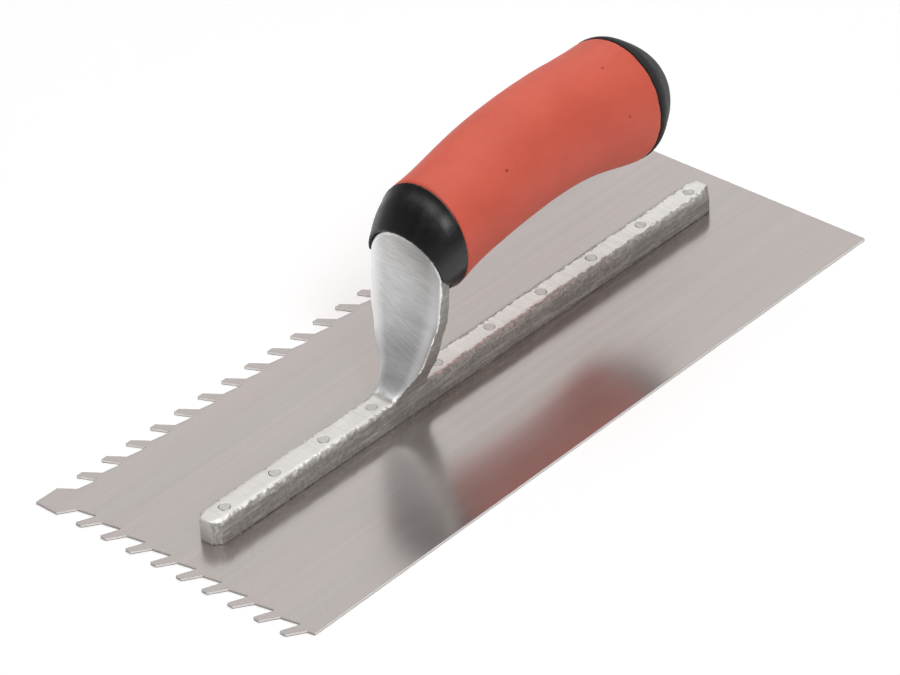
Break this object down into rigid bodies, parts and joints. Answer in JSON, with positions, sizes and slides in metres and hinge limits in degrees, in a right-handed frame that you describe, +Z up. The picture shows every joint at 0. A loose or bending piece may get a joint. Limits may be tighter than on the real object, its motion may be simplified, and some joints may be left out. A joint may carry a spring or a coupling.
{
  "type": "notched trowel",
  "caption": "Notched adhesive trowel: thin steel blade with slanted notches on its toe and one side, a cast aluminium mounting riveted to it, and a curved soft-grip handle",
  "frame": {"origin": "centre of the blade's underside", "axes": "+X along the blade to its notched toe, +Y to the left, away from the notched side, +Z up from the blade to the handle"},
  "size_m": [0.2794, 0.1142, 0.0876],
  "materials": {
    "blade_steel": "bright cold-rolled sheet with a fine lengthwise grain",
    "cast_aluminium": "as-cast sides, ground rib top and satin-polished shank",
    "rivet_steel": "ends dressed flush by grinding",
    "black_plastic": "semi-matt moulded",
    "red_rubber": "matt soft-touch moulding",
    "core_plastic": "moulded, hidden inside the grip",
    "plated_steel": "zinc plated"
  },
  "bodies": {
    "root": {"blade": "blade_steel", "mounting": "cast_aluminium", "front_collar": "black_plastic", "grip_sleeve": "red_rubber", "handle_core": "core_plastic", "end_cap": "black_plastic", "handle_bolt": "plated_steel", "flat_washer": "plated_steel", "lock_washer": "plated_steel", "blade_rivet_01": "rivet_steel", "blade_rivet_02": "rivet_steel", "blade_rivet_03": "rivet_steel", "blade_rivet_04": "rivet_steel", "blade_rivet_05": "rivet_steel", "blade_rivet_06": "rivet_steel", "blade_rivet_07": "rivet_steel", "blade_rivet_08": "rivet_steel", "blade_rivet_09": "rivet_steel", "blade_rivet_10": "rivet_steel"}
  },
  "joints": []
}
